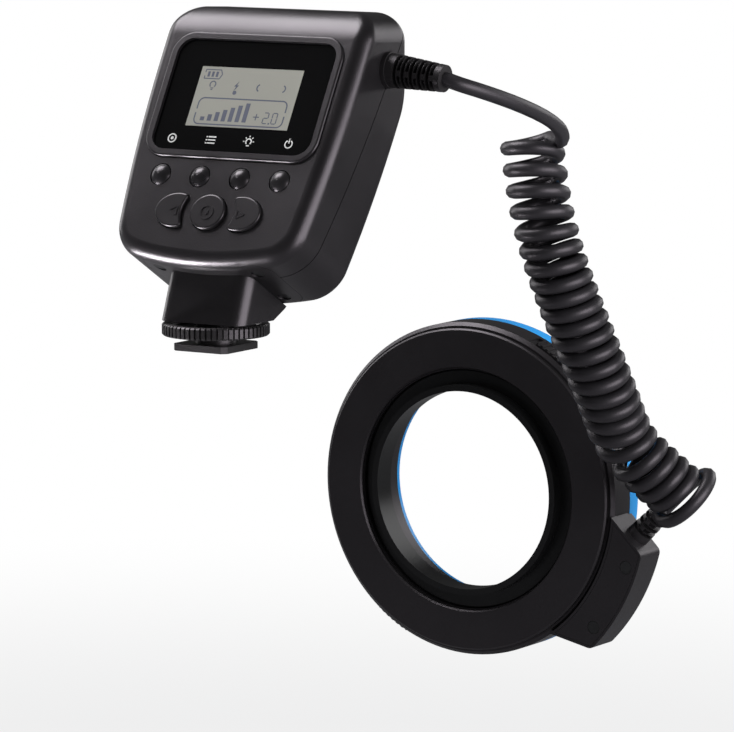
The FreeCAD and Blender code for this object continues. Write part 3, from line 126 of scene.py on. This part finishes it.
fade = tree.nodes.new("ShaderNodeMapRange")
fade.interpolation_type = "SMOOTHSTEP"
fade.inputs["From Min"].default_value = 0.2
fade.inputs["From Max"].default_value = 0.6
fade.inputs["To Min"].default_value = 0.8
tree.links.new(far_out.outputs["Value"], fade.inputs["Value"])
looked_at = tree.nodes.new("ShaderNodeLightPath")
fade_seen = tree.nodes.new("ShaderNodeMath")
fade_seen.operation = "MULTIPLY"
tree.links.new(fade.outputs["Result"], fade_seen.inputs[0])
tree.links.new(looked_at.outputs["Is Camera Ray"], fade_seen.inputs[1])
white_glow = tree.nodes.new("ShaderNodeEmission")
joined = tree.nodes.new("ShaderNodeMixShader")
tree.links.new(fade_seen.outputs[0], joined.inputs["Fac"])
tree.links.new(shader.outputs["BSDF"], joined.inputs[1])
tree.links.new(white_glow.outputs["Emission"], joined.inputs[2])
tree.links.new(joined.outputs["Shader"], tree.nodes["Material Output"].inputs["Surface"])
floor.data.materials.append(pale)

# The curly cord: one black jacket from the controller's gland to the ring's box. It is
# wound on a mandrel, so it springs back to a close coil. Its own weight opens the top turns.
cord_radius = 0.0022
tail_points = [(0.05461, 0.03794, 0.07823), (0.0585, 0.0379, 0.0770), (0.0625, 0.045, 0.0746),
               (0.0664, 0.060, 0.0699), (0.0668, 0.078, 0.0642), (0.0647, 0.089, 0.0594),
               (0.0601, 0.096, 0.0556)]
coil_poles = [(0.0487, 0.0975, 0.0572), (0.0525, 0.0948, 0.040), (0.0568, 0.0962, 0.0225),
              (0.0608, 0.1012, 0.0058), (0.0642, 0.1071, -0.009), (0.0660, 0.1144, -0.0225),
              (0.0661, 0.1243, -0.0374), (0.0726, 0.1307, -0.0468), (0.0805, 0.1395, -0.0567)]
relief_tip = Vector((0.06726, 0.14775, -0.06226))
relief_way = Vector((0.71714, 0.0, 0.69693))
relief_reaches = (0.0165, 0.009, 0.0045, 0)


def spline_through(name, poles, resolution):
    curve = bpy.data.curves.new(name, "CURVE")
    curve.dimensions = "3D"
    curve.resolution_u = resolution
    line = curve.splines.new("NURBS")
    line.points.add(len(poles) - 1)
    for point, pole in zip(line.points, poles):
        point.co = (*pole, 1)
    line.order_u = 3
    line.use_endpoint_u = True
    return curve


def points_on(curve):
    holder = bpy.data.objects.new(curve.name, curve)
    mesh = bpy.data.meshes.new_from_object(holder)
    points = [vertex.co.copy() for vertex in mesh.vertices]
    bpy.data.objects.remove(holder)
    bpy.data.meshes.remove(mesh)
    return points


first_radius = 0.0076
later_radius = 0.0075
last_turn_radius = 0.0103
close_pitch = 0.0044
open_pitch = 0.0065
open_turns = 6
points_per_turn = 16
widening_turns = 0.6
wide_turns = 0.45
least_share_in_bend = 0.3
first_phase = -40.0
last_phase = -90.0
spine = points_on(spline_through("coil_spine", coil_poles, 60))
across = Vector((1, 0, 0))
turned_by = 0.0
frames = []
for index, point in enumerate(spine):
    before = spine[max(index - 1, 0)]
    after = spine[min(index + 1, len(spine) - 1)]
    axis = (after - before).normalized()
    across = (across - axis * across.dot(axis)).normalized()
    frames.append((turned_by, point, axis, across))
    step = (after - point).length
    bend = 0
    if 0 < index < len(spine) - 1:
        bend = (after - point).angle(point - before, 0) / max(step, 1e-6)
    pitch = max(close_pitch, open_pitch - (open_pitch - close_pitch) * turned_by / open_turns)
    turned_by += step / pitch * max(1 - (later_radius + cord_radius) * bend, least_share_in_bend)
spare = (first_phase - last_phase) / 360
turns = math.floor(frames[-1][0] - spare) + spare
stretch = frames[-1][0] / turns
cord_poles = [Vector(point) for point in tail_points]
widen = 1 / (0.5 + 0.5 * math.cos(math.pi / points_per_turn))
below = 0
for index in range(1, int(turns * points_per_turn) - 1):
    turn = index / points_per_turn
    while below < len(frames) - 2 and frames[below + 1][0] < turn * stretch:
        below += 1
    low, high = frames[below], frames[below + 1]
    share = (turn * stretch - low[0]) / (high[0] - low[0])
    point = low[1].lerp(high[1], share)
    axis = low[2].lerp(high[2], share).normalized()
    outward = low[3].lerp(high[3], share).normalized()
    sideways = axis.cross(outward)
    angle = math.radians(first_phase - 360 * turn)
    widening = min(1.0, max(0.0, 1 - (turns - turn - wide_turns) / widening_turns))
    radius = first_radius + (later_radius - first_radius) * turn / turns
    radius += (last_turn_radius - radius) * (3 - 2 * widening) * widening ** 2
    cord_poles.append(point + (outward * math.cos(angle) + sideways * math.sin(angle)) * radius * widen)
cord_poles += [relief_tip + relief_way * reach for reach in relief_reaches]
cord_curve = spline_through("cord_line", cord_poles, 3)
cord_path = points_on(cord_curve)
cord_curve.bevel_depth = cord_radius
cord_curve.bevel_resolution = 3
cord_curve.use_fill_caps = True
cord_holder = bpy.data.objects.new("cord_holder", cord_curve)
cord_mesh = bpy.data.meshes.new_from_object(cord_holder)
bpy.data.objects.remove(cord_holder)
cord_mesh.name = "curly_cord"
cord_mesh.shade_smooth()
curly_cord = bpy.data.objects.new("curly_cord", cord_mesh)
bpy.context.scene.collection.objects.link(curly_cord)

# The finishes share three helpers: a noise that mixes two near tones, the same noise as a
# polish that comes and goes, and a finer noise as the grain of the mould.


def mottle(tree, scale, dark, light, detail=2, low=0.0, high=1.0):
    noise = tree.nodes.new("ShaderNodeTexNoise")
    noise.inputs["Scale"].default_value = scale
    noise.inputs["Detail"].default_value = detail
    tree.links.new(tree.nodes.new("ShaderNodeTexCoord").outputs["Object"], noise.inputs["Vector"])
    tone = tree.nodes.new("ShaderNodeValToRGB")
    tone.color_ramp.elements[0].position = low
    tone.color_ramp.elements[1].position = high
    tone.color_ramp.elements[0].color = (*dark, 1)
    tone.color_ramp.elements[1].color = (*light, 1)
    tree.links.new(noise.outputs["Fac"], tone.inputs["Fac"])
    tree.links.new(tone.outputs["Color"], tree.nodes["Principled BSDF"].inputs["Base Color"])
    return noise


def vary_roughness(tree, noise, smoothest, roughest, low=0.0, high=1.0):
    polish = tree.nodes.new("ShaderNodeMapRange")
    polish.inputs["From Min"].default_value = low
    polish.inputs["From Max"].default_value = high
    polish.inputs["To Min"].default_value = smoothest
    polish.inputs["To Max"].default_value = roughest
    tree.links.new(noise.outputs["Fac"], polish.inputs["Value"])
    tree.links.new(polish.outputs["Result"], tree.nodes["Principled BSDF"].inputs["Roughness"])


def add_grain(tree, scale, detail, strength):
    grain = tree.nodes.new("ShaderNodeTexNoise")
    grain.inputs["Scale"].default_value = scale
    grain.inputs["Detail"].default_value = detail
    tree.links.new(tree.nodes.new("ShaderNodeTexCoord").outputs["Object"], grain.inputs["Vector"])
    relief = tree.nodes.new("ShaderNodeBump")
    relief.inputs["Strength"].default_value = strength
    relief.inputs["Distance"].default_value = 0.0002
    tree.links.new(grain.outputs["Fac"], relief.inputs["Height"])
    tree.links.new(relief.outputs["Normal"], tree.nodes["Principled BSDF"].inputs["Normal"])


jacket = bpy.data.materials.new("cord_jacket")
jacket.use_nodes = True
tree = jacket.node_tree
tree.nodes["Principled BSDF"].inputs["Specular Tint"].default_value = (1.0, 0.9, 1.0, 1)
blotches = mottle(tree, 60, (0.013, 0.0125, 0.014), (0.022, 0.021, 0.024), detail=3)
vary_roughness(tree, blotches, 0.36, 0.5)
add_grain(tree, 1400, 2, 0.12)
cord_mesh.materials.append(jacket)
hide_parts("cord_tail", "cord_coil")
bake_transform(curly_cord)

# The two shells of the controller, its door, and the neck bracket are black ABS moulded
# with a fine spark-eroded grain. Handling polishes the grain a little in patches.


def moulded_plastic(name, dark, light, rough_low, rough_high, grain_scale, grain_strength):
    finish = bpy.data.materials.new(name)
    finish.use_nodes = True
    tree = finish.node_tree
    tree.nodes["Principled BSDF"].inputs["Specular Tint"].default_value = (1.0, 0.9, 1.0, 1)
    patches = mottle(tree, 28, dark, light, detail=4, low=0.3, high=0.75)
    patches.inputs["Roughness"].default_value = 0.6
    vary_roughness(tree, patches, rough_low, rough_high, low=0.3, high=0.7)
    add_grain(tree, grain_scale, 3, grain_strength)
    return finish


def dress(node, finish):
    mesh = nodes[node].data
    mesh.materials.clear()
    mesh.materials.append(finish)


shell_plastic = moulded_plastic("shell_plastic", (0.0085, 0.008, 0.0088), (0.0125, 0.0118, 0.013),
                                0.28, 0.36, 2600, 0.16)
for node in ("front_shell", "back_shell", "battery_door", "neck_bracket"):
    dress(node, shell_plastic)

# The window over the display is a clear acrylic plate, printed black from behind except
# where the panel shows. The panel is a reflective liquid crystal, lit by the room.
tilt = math.radians(29.64)
housing_foot = Vector((0, 0.01533, 0.011))
window_middle = Vector((0, 0.0530, 0.030))
panel = Matrix.Translation(housing_foot) @ Matrix.Rotation(math.radians(90) - tilt, 4, "X")
panel = panel @ Matrix.Translation(window_middle)

window_gloss = bpy.data.materials.new("window_gloss")
window_gloss.use_nodes = True
tree = window_gloss.node_tree
tree.nodes["Principled BSDF"].inputs["Roughness"].default_value = 0.06
mottle(tree, 45, (0.0022, 0.0022, 0.0026), (0.0036, 0.0034, 0.0038))
dress("display_window", window_gloss)


def plain_finish(name, colour, roughness, metallic=0.0, spread=0.12, scale=90):
    finish = bpy.data.materials.new(name)
    finish.use_nodes = True
    tree = finish.node_tree
    shader = tree.nodes["Principled BSDF"]
    shader.inputs["Roughness"].default_value = roughness
    shader.inputs["Metallic"].default_value = metallic
    dark = [part * (1 - spread) for part in colour]
    light = [min(1, part * (1 + spread)) for part in colour]
    mottle(tree, scale, dark, light, detail=4, low=0.3, high=0.7)
    return finish


def piece_from(form, name, finish, body, where=None):
    if where is not None:
        bmesh.ops.transform(form, matrix=where, verts=form.verts)
    bmesh.ops.recalc_face_normals(form, faces=form.faces)
    mesh = bpy.data.meshes.new(name)
    form.to_mesh(mesh)
    form.free()
    mesh.materials.append(finish)
    piece = bpy.data.objects.new(name, mesh)
    bpy.context.scene.collection.objects.link(piece)
    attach(piece, body)
    return piece


def add_plate(form, outline, low, high):
    corners = [form.verts.new((x, y, low)) for x, y in outline]
    face = form.faces.new(corners)
    raised = bmesh.ops.extrude_face_region(form, geom=[face])
    lifted = [part for part in raised["geom"] if isinstance(part, bmesh.types.BMVert)]
    bmesh.ops.translate(form, verts=lifted, vec=(0, 0, high - low))


def add_bar(form, centre_x, centre_y, width, height, low, high):
    x, y = width / 2, height / 2
    outline = [(centre_x + a, centre_y + b) for a, b in ((-x, -y), (x, -y), (x, y), (-x, y))]
    add_plate(form, outline, low, high)


def add_stroke(form, start, end, width, low, high):
    start, end = Vector(start), Vector(end)
    across = (end - start).orthogonal().normalized() * (width / 2)
    corners = (start - across, end - across, end + across, start + across)
    add_plate(form, [tuple(corner) for corner in corners], low, high)


def add_disc(form, centre_x, centre_y, radius, low, high):
    angles = [math.radians(15 * index) for index in range(24)]
    outline = [(centre_x + radius * math.cos(a), centre_y + radius * math.sin(a)) for a in angles]
    add_plate(form, outline, low, high)


def add_ring(form, centre_x, centre_y, outer, inner, low, high, first=0, last=360):
    count = max(6, int(abs(last - first) / 10))
    for index in range(count):
        a = math.radians(first + (last - first) * index / count)
        b = math.radians(first + (last - first) * (index + 1) / count)
        outline = [(inner * math.cos(a), inner * math.sin(a)), (outer * math.cos(a), outer * math.sin(a)),
                   (outer * math.cos(b), outer * math.sin(b)), (inner * math.cos(b), inner * math.sin(b))]
        add_plate(form, [(centre_x + x, centre_y + y) for x, y in outline], low, high)


face_front = -0.00025
face_thick, face_proud = 0.0001, 0.00004
liquid = plain_finish("liquid_crystal", (0.375, 0.372, 0.335), 0.22, spread=0.05, scale=20)
glass_form = bmesh.new()
glass_left, glass_right, glass_low, glass_high = -0.0178, 0.0175, -0.0095, 0.0097
add_plate(glass_form, [(glass_left, glass_low), (glass_right, glass_low), (glass_right, glass_high),
                       (glass_left, glass_high)], face_front - face_thick, face_front + face_proud)
piece_from(glass_form, "display_face", liquid, "controller", panel)

# What the panel shows: a cell symbol, a lamp and a bolt for the two kinds of light, the two
# halves of the ring, a rising scale in a rounded frame, and a plain number.
segment_ink = plain_finish("segment_ink", (0.075, 0.085, 0.135), 0.4, spread=0.05)
ink_low, ink_high = face_front + 0.00003, face_front + 0.00008
mark, thin_mark = 0.0004, 0.0003
signs = bmesh.new()
cell_left, cell_right, cell_low, cell_high, cell_tip = -0.0162, -0.0109, 0.0058, 0.0087, -0.0102
cell_middle = (cell_low + cell_high) / 2
cell_lip = 0.0009
for start, end in (((cell_left, cell_high), (cell_right, cell_high)),
                   ((cell_left, cell_low), (cell_right, cell_low)),
                   ((cell_left, cell_high), (cell_left, cell_high - cell_lip)),
                   ((cell_left, cell_low), (cell_left, cell_low + cell_lip)),
                   ((cell_right, cell_high), (cell_tip, cell_middle)),
                   ((cell_tip, cell_middle), (cell_right, cell_low))):
    add_stroke(signs, start, end, thin_mark, ink_low, ink_high)
charge_x, charge_step = -0.0149, 0.00145
for index in range(3):
    add_bar(signs, charge_x + charge_step * index, cell_middle, 0.0008, 0.0017, ink_low, ink_high)
lamp_x, bolt_x, kind_v = -0.0125, -0.0042, 0.0037
add_ring(signs, lamp_x, kind_v + 0.0003, 0.00115, 0.0008, ink_low, ink_high, -50, 230)
add_bar(signs, lamp_x, kind_v - 0.0009, 0.0010, thin_mark, ink_low, ink_high)
add_bar(signs, lamp_x, kind_v - 0.0014, 0.0006, thin_mark, ink_low, ink_high)
bolt = ((0.0006, 0.0016), (-0.0007, -0.0001), (0.0, -0.0001), (-0.0005, -0.0016), (0.0008, 0.0003),
        (0.0001, 0.0003))
add_plate(signs, [(bolt_x + x, kind_v + y) for x, y in bolt], ink_low, ink_high)
add_disc(signs, bolt_x, 0.0016, 0.00065, ink_low, ink_high)
for x, first in ((0.0042, 110), (0.0118, -70)):
    add_ring(signs, x, 0.0035, 0.0013, 0.0009, ink_low, ink_high, first, first + 140)
frame_left, frame_right, frame_low, frame_high, frame_corner = -0.0155, 0.0152, -0.0088, -0.0004, 0.0018
frame_middle, frame_gap = -0.0046, 0.0012
for v in (frame_low, frame_high):
    start, end = (frame_left + frame_corner, v), (frame_right - frame_corner, v)
    add_stroke(signs, start, end, mark, ink_low, ink_high)
for x in (frame_left, frame_right):
    for far_end, near_end in ((frame_high - frame_corner, frame_middle + frame_gap / 2),
                              (frame_low + frame_corner, frame_middle - frame_gap / 2)):
        add_stroke(signs, (x, far_end), (x, near_end), mark, ink_low, ink_high)
for x, v, first in ((frame_left + frame_corner, frame_high - frame_corner, 90),
                    (frame_right - frame_corner, frame_high - frame_corner, 0),
                    (frame_right - frame_corner, frame_low + frame_corner, 270),
                    (frame_left + frame_corner, frame_low + frame_corner, 180)):
    add_ring(signs, x, v, frame_corner + mark / 2, frame_corner - mark / 2, ink_low, ink_high,
             first, first + 90)
first_bar_x, bar_step, bar_foot, bar_width = -0.0127, 0.00243, -0.0077, 0.0014
first_bar_height, bar_growth = 0.00125, 0.00081
for index in range(7):
    height = first_bar_height + bar_growth * index
    x = first_bar_x + bar_step * index
    add_bar(signs, x, bar_foot + height / 2, bar_width, height, ink_low, ink_high)
plus_x, plus_v, plus_size = 0.0057, -0.0058, 0.0020
add_bar(signs, plus_x, plus_v, plus_size, thin_mark, ink_low, ink_high)
add_bar(signs, plus_x, plus_v, thin_mark, plus_size, ink_low, ink_high)
segment, segment_half_width, segment_half_height = 0.0015, 0.0008, 0.0017
strokes = {"top": (0, 1, False), "middle": (0, 0, False), "bottom": (0, -1, False),
           "upper_left": (-1, 0.5, True), "upper_right": (1, 0.5, True),
           "lower_left": (-1, -0.5, True), "lower_right": (1, -0.5, True)}
digits = ((0.0091, ("top", "upper_right", "middle", "lower_left", "bottom")),
          (0.0121, ("top", "bottom", "upper_left", "upper_right", "lower_left", "lower_right")))
digit_v = -0.0060
for x, shown in digits:
    for stroke in shown:
        across, up, upright = strokes[stroke]
        centre = (x + across * segment_half_width, digit_v + up * segment_half_height)
        size = (thin_mark, segment) if upright else (2 * segment_half_width - thin_mark, thin_mark)
        add_bar(signs, *centre, *size, ink_low, ink_high)
add_bar(signs, 0.0106, digit_v - segment_half_height, 0.0005, 0.0005, ink_low, ink_high)
piece_from(signs, "display_signs", segment_ink, "controller", panel)

# White pad-printed marks under the display name the four round buttons without words: a
# sighting ring, a list, a lamp and the power symbol.
print_white = plain_finish("print_white", (0.80, 0.80, 0.80), 0.45, spread=0.06)
print_low, print_high = face_front - 0.00005, face_front + 0.00004
prints = bmesh.new()
label_v = -0.01375
label_x = (-0.02106, -0.00768, 0.00565, 0.01946)
add_ring(prints, label_x[0], label_v, 0.0015, 0.0011, print_low, print_high)
add_disc(prints, label_x[0], label_v, 0.0005, print_low, print_high)
for step in (-1, 0, 1):
    add_bar(prints, label_x[1] + 0.0005, label_v + 0.0010 * step, 0.0026, 0.0004, print_low, print_high)
    add_bar(prints, label_x[1] - 0.0013, label_v + 0.0010 * step, 0.0005, 0.0004, print_low, print_high)
add_ring(prints, label_x[2], label_v + 0.0001, 0.0011, 0.0007, print_low, print_high, -50, 230)
add_bar(prints, label_x[2], label_v - 0.0012, 0.0010, 0.0004, print_low, print_high)
for angle in (0, 45, 90, 135, 180):
    way = Vector((math.cos(math.radians(angle)), math.sin(math.radians(angle))))
    centre = Vector((label_x[2], label_v + 0.0001))
    add_stroke(prints, centre + way * 0.0014, centre + way * 0.0019, 0.0003, print_low, print_high)
add_ring(prints, label_x[3], label_v, 0.0014, 0.0010, print_low, print_high, -240, 60)
add_bar(prints, label_x[3], label_v + 0.0010, 0.0004, 0.0015, print_low, print_high)
piece_from(prints, "button_signs", print_white, "controller", panel)

# Seven buttons of black silicone-tipped ABS, smoother than the shell. The arrows and the
# middle button carry raised marks.
button_plastic = moulded_plastic("button_plastic", (0.010, 0.0096, 0.0105), (0.014, 0.0135, 0.0145),
                                 0.26, 0.34, 2600, 0.08)
for node in ("round_button_1", "round_button_2", "round_button_3", "round_button_4", "set_button",
             "left_button", "right_button"):
    dress(node, button_plastic)
set_x, arrow_x, arrow_v = -0.0005, 0.0115, -0.0371
arrow_top, arrow_sunk = 0.00130, 0.00095
set_mark_top = arrow_top + 0.00012
arrow_corners = ((0.0014, 0), (-0.0011, 0.0014), (-0.0011, -0.0014))
for name, body, side in (("left_arrow_mark", "left_button", -1), ("right_arrow_mark", "right_button", 1)):
    arrow = bmesh.new()
    corners = [Vector((set_x + side * (arrow_x + x), arrow_v + y)) for x, y in arrow_corners]
    for index in range(3):
        add_stroke(arrow, corners[index - 1], corners[index], 0.00035, arrow_sunk, arrow_top)
    piece_from(arrow, name, button_plastic, body, panel)
ring_mark = bmesh.new()
add_ring(ring_mark, set_x, arrow_v, 0.0023, 0.0018, arrow_sunk, set_mark_top)
add_disc(ring_mark, set_x, arrow_v, 0.0007, arrow_sunk, set_mark_top)
piece_from(ring_mark, "set_mark", button_plastic, "set_button", panel)

# Shoe hardware: a black-painted steel foot, a washer, gold-plated sprung contacts, and a
# knurled lock wheel turned from nylon.
painted = moulded_plastic("foot_paint", (0.010, 0.010, 0.010), (0.018, 0.018, 0.018),
                          0.30, 0.42, 1500, 0.10)
dress("shoe_foot", painted)
dress("clamp_washer", painted)
wheel_nylon = moulded_plastic("wheel_nylon", (0.009, 0.0088, 0.009), (0.015, 0.0145, 0.015),
                              0.30, 0.40, 1900, 0.12)
dress("lock_wheel", wheel_nylon)
gold = plain_finish("contact_gold", (0.83, 0.62, 0.28), 0.28, metallic=1.0, spread=0.08, scale=300)
dress("shoe_contacts", gold)
dress("battery_contacts", gold)

# Inside the controller: the display module, the keypad sheet, a green circuit board with its
# parts, and four cells in a plain sleeve.
board_green = plain_finish("board_green", (0.012, 0.12, 0.05), 0.35, spread=0.2, scale=140)
for node in ("main_board", "driver_board"):
    dress(node, board_green)
part_black = plain_finish("part_black", (0.02, 0.02, 0.022), 0.5)
dress("board_parts", part_black)
rubber_grey = plain_finish("rubber_grey", (0.05, 0.05, 0.052), 0.7)
dress("keypad", rubber_grey)
dress("display_module", liquid)
cell_sleeve = plain_finish("cell_sleeve", (0.10, 0.105, 0.115), 0.3, spread=0.1)
for index in range(4):
    dress("battery_" + str(index + 1), cell_sleeve)
screw_steel = plain_finish("screw_steel", (0.035, 0.035, 0.037), 0.38, metallic=0.7, spread=0.15, scale=400)
for node in ("neck_screws", "shell_screws", "box_screws"):
    dress(node, screw_steel)

# The strain reliefs are moulded in soft black PVC, with staggered slots so that they flex.
relief_rubber = moulded_plastic("relief_rubber", (0.011, 0.0105, 0.011), (0.019, 0.018, 0.019),
                                0.36, 0.48, 1800, 0.14)
dress("cord_grommet", relief_rubber)
dress("box_relief", relief_rubber)

# The ring head: housing, back plate and junction box in black ABS, finer than the
# controller's. The latches that free it from the adapter ring are ribbed for a thumb.
ring_plastic = moulded_plastic("ring_plastic", (0.0075, 0.0072, 0.0078), (0.012, 0.0115, 0.0125),
                               0.36, 0.46, 2600, 0.14)
for node in ("ring_housing", "ring_back_plate", "junction_box", "box_cover", "latch_upper", "latch_lower"):
    dress(node, ring_plastic)
anodised = plain_finish("anodised_black", (0.012, 0.012, 0.013), 0.33, metallic=0.55, spread=0.1, scale=200)
dress("adapter_ring", anodised)
spring_steel = plain_finish("spring_steel", (0.45, 0.45, 0.46), 0.3, metallic=1.0)
dress("latch_spring_upper", spring_steel)
dress("latch_spring_lower", spring_steel)

# The light inside the ring: lamps on two half boards, a white reflector, a clear window and
# the blue pull-off diffuser, moulded in tinted acrylic.
board_white = plain_finish("lamp_board_white", (0.75, 0.75, 0.74), 0.4, spread=0.05)
for node in ("lamp_board_left", "lamp_board_right"):
    dress(node, board_white)
phosphor = plain_finish("lamp_phosphor", (0.85, 0.72, 0.25), 0.35, spread=0.06)
dress("lamps_left", phosphor)
dress("lamps_right", phosphor)
reflector_white = plain_finish("reflector_white", (0.8, 0.8, 0.8), 0.25, spread=0.03)
dress("reflector", reflector_white)
clear = bpy.data.materials.new("clear_window")
clear.use_nodes = True
shader = clear.node_tree.nodes["Principled BSDF"]
shader.inputs["Base Color"].default_value = (0.93, 0.95, 0.96, 1)
shader.inputs["Roughness"].default_value = 0.12
shader.inputs["IOR"].default_value = 1.49
shader.inputs["Transmission Weight"].default_value = 0.95
dress("front_window", clear)
tinted = bpy.data.materials.new("tinted_blue")
tinted.use_nodes = True
tree = tinted.node_tree
shader = tree.nodes["Principled BSDF"]
shader.inputs["Roughness"].default_value = 0.25
shader.inputs["IOR"].default_value = 1.49
shader.inputs["Transmission Weight"].default_value = 0.1
shader.inputs["Specular IOR Level"].default_value = 0.3
mottle(tree, 30, (0.03, 0.37, 0.93), (0.045, 0.43, 1.0))
dress("blue_diffuser", tinted)
